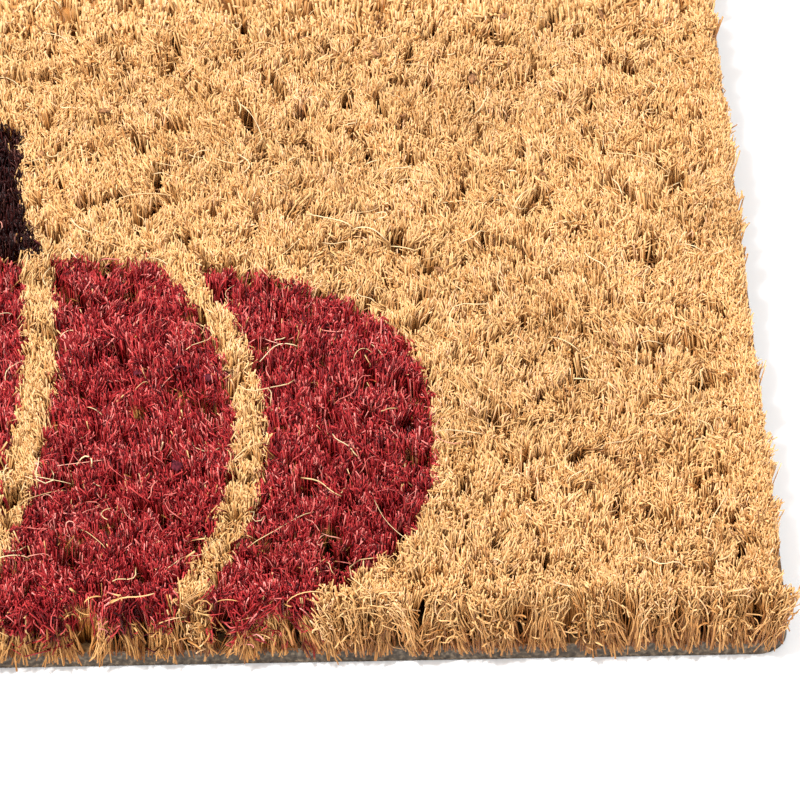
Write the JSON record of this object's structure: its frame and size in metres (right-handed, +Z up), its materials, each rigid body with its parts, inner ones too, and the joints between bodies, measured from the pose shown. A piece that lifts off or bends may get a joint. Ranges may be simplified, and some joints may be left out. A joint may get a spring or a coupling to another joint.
{
  "type": "door mat",
  "caption": "Rectangular coir door mat: short upright brush pile on a flat PVC backing sheet, printed with a row of pumpkins along one long edge.",
  "frame": {"origin": "centre of the backing sheet's underside, on the floor", "axes": "+X along the long side, +Y away from the printed long edge, +Z up"},
  "size_m": [0.6, 0.4, 0.015],
  "materials": {
    "pvc_backing": "matte",
    "plain_coir": "matte",
    "red_coir": "matte",
    "dark_coir": "matte"
  },
  "bodies": {
    "root": {"backing": "pvc_backing", "plain_pile_back": "plain_coir", "plain_pile_front": "plain_coir", "left_lobe_1": "red_coir", "left_lobe_2": "red_coir", "left_lobe_3": "red_coir", "left_lobe_4": "red_coir", "left_lobe_5": "red_coir", "left_stem": "dark_coir", "left_strips": "plain_coir", "middle_lobe_1": "red_coir", "middle_lobe_2": "red_coir", "middle_lobe_3": "red_coir", "middle_lobe_4": "red_coir", "middle_lobe_5": "red_coir", "middle_stem": "dark_coir", "middle_strips": "plain_coir", "right_lobe_1": "red_coir", "right_lobe_2": "red_coir", "right_lobe_3": "red_coir", "right_lobe_4": "red_coir", "right_lobe_5": "red_coir", "right_stem": "dark_coir", "right_strips": "plain_coir"}
  },
  "joints": []
}
